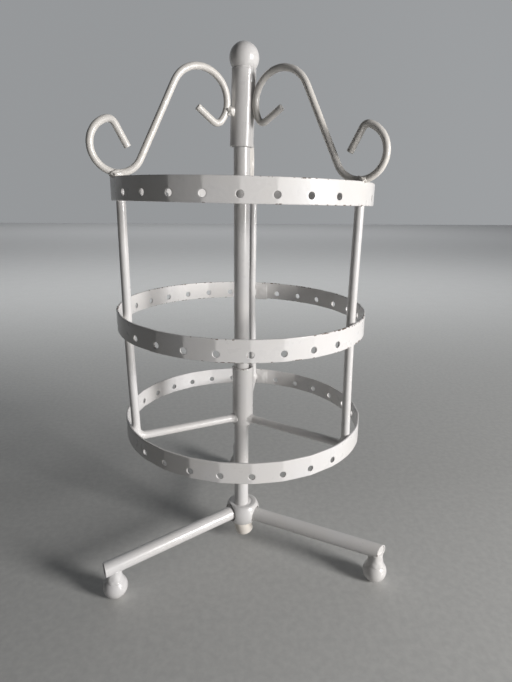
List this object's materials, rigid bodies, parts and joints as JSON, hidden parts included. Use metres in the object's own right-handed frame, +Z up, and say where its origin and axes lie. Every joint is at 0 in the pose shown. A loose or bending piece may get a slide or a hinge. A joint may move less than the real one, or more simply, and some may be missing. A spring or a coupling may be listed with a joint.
{
  "type": "rotating display rack",
  "caption": "Countertop rotating display rack: perforated metal hoops on bent rods turn round a central pole, with wire scrolls above and a low stand on tubular legs with ball feet.",
  "frame": {"origin": "on the pole's axis, on the surface that the feet stand on", "axes": "+Z up along the pole, +Y towards the back leg, +X to the right as the rack is seen from the front"},
  "size_m": [0.177, 0.176, 0.3176],
  "materials": {
    "white_paint": "gloss off-white enamel with small chips",
    "bare_steel": "plain zinc-plated steel",
    "cap_plastic": "satin, cream",
    "bearing_plastic": "smooth, natural white"
  },
  "bodies": {
    "stand": {"base_bolt": "bare_steel", "base_hub": "white_paint", "base_washer": "bare_steel", "bolt_cap": "cap_plastic", "foot_back": "white_paint", "foot_front_left": "white_paint", "foot_front_right": "white_paint", "foot_welds": "white_paint", "leg_back": "white_paint", "leg_front_left": "white_paint", "leg_front_right": "white_paint", "leg_plug_back": "white_paint", "leg_plug_front_left": "white_paint", "leg_plug_front_right": "white_paint", "pivot_pin": "bare_steel", "pole": "white_paint", "pole_insert": "bare_steel", "pole_top_plug": "bearing_plastic"},
    "carousel": {"bearing_plug": "bearing_plastic", "bottom_ring": "white_paint", "finial_ball": "white_paint", "finial_weld": "white_paint", "lower_sleeve": "white_paint", "middle_ring": "white_paint", "ring_seams": "white_paint", "scroll_back": "white_paint", "scroll_left": "white_paint", "scroll_right": "white_paint", "scroll_ring_welds": "white_paint", "scroll_sleeve_welds": "white_paint", "spoke_welds": "white_paint", "top_ring": "white_paint", "upper_sleeve": "white_paint", "upright_back": "white_paint", "upright_left": "white_paint", "upright_right": "white_paint", "upright_welds": "white_paint"}
  },
  "joints": [
    {"name": "carousel_spin", "type": "hinge", "parent": "stand", "child": "carousel", "pos_m": [0, 0, 0.299], "axis": [0, 0, 1], "continuous": true}
  ]
}
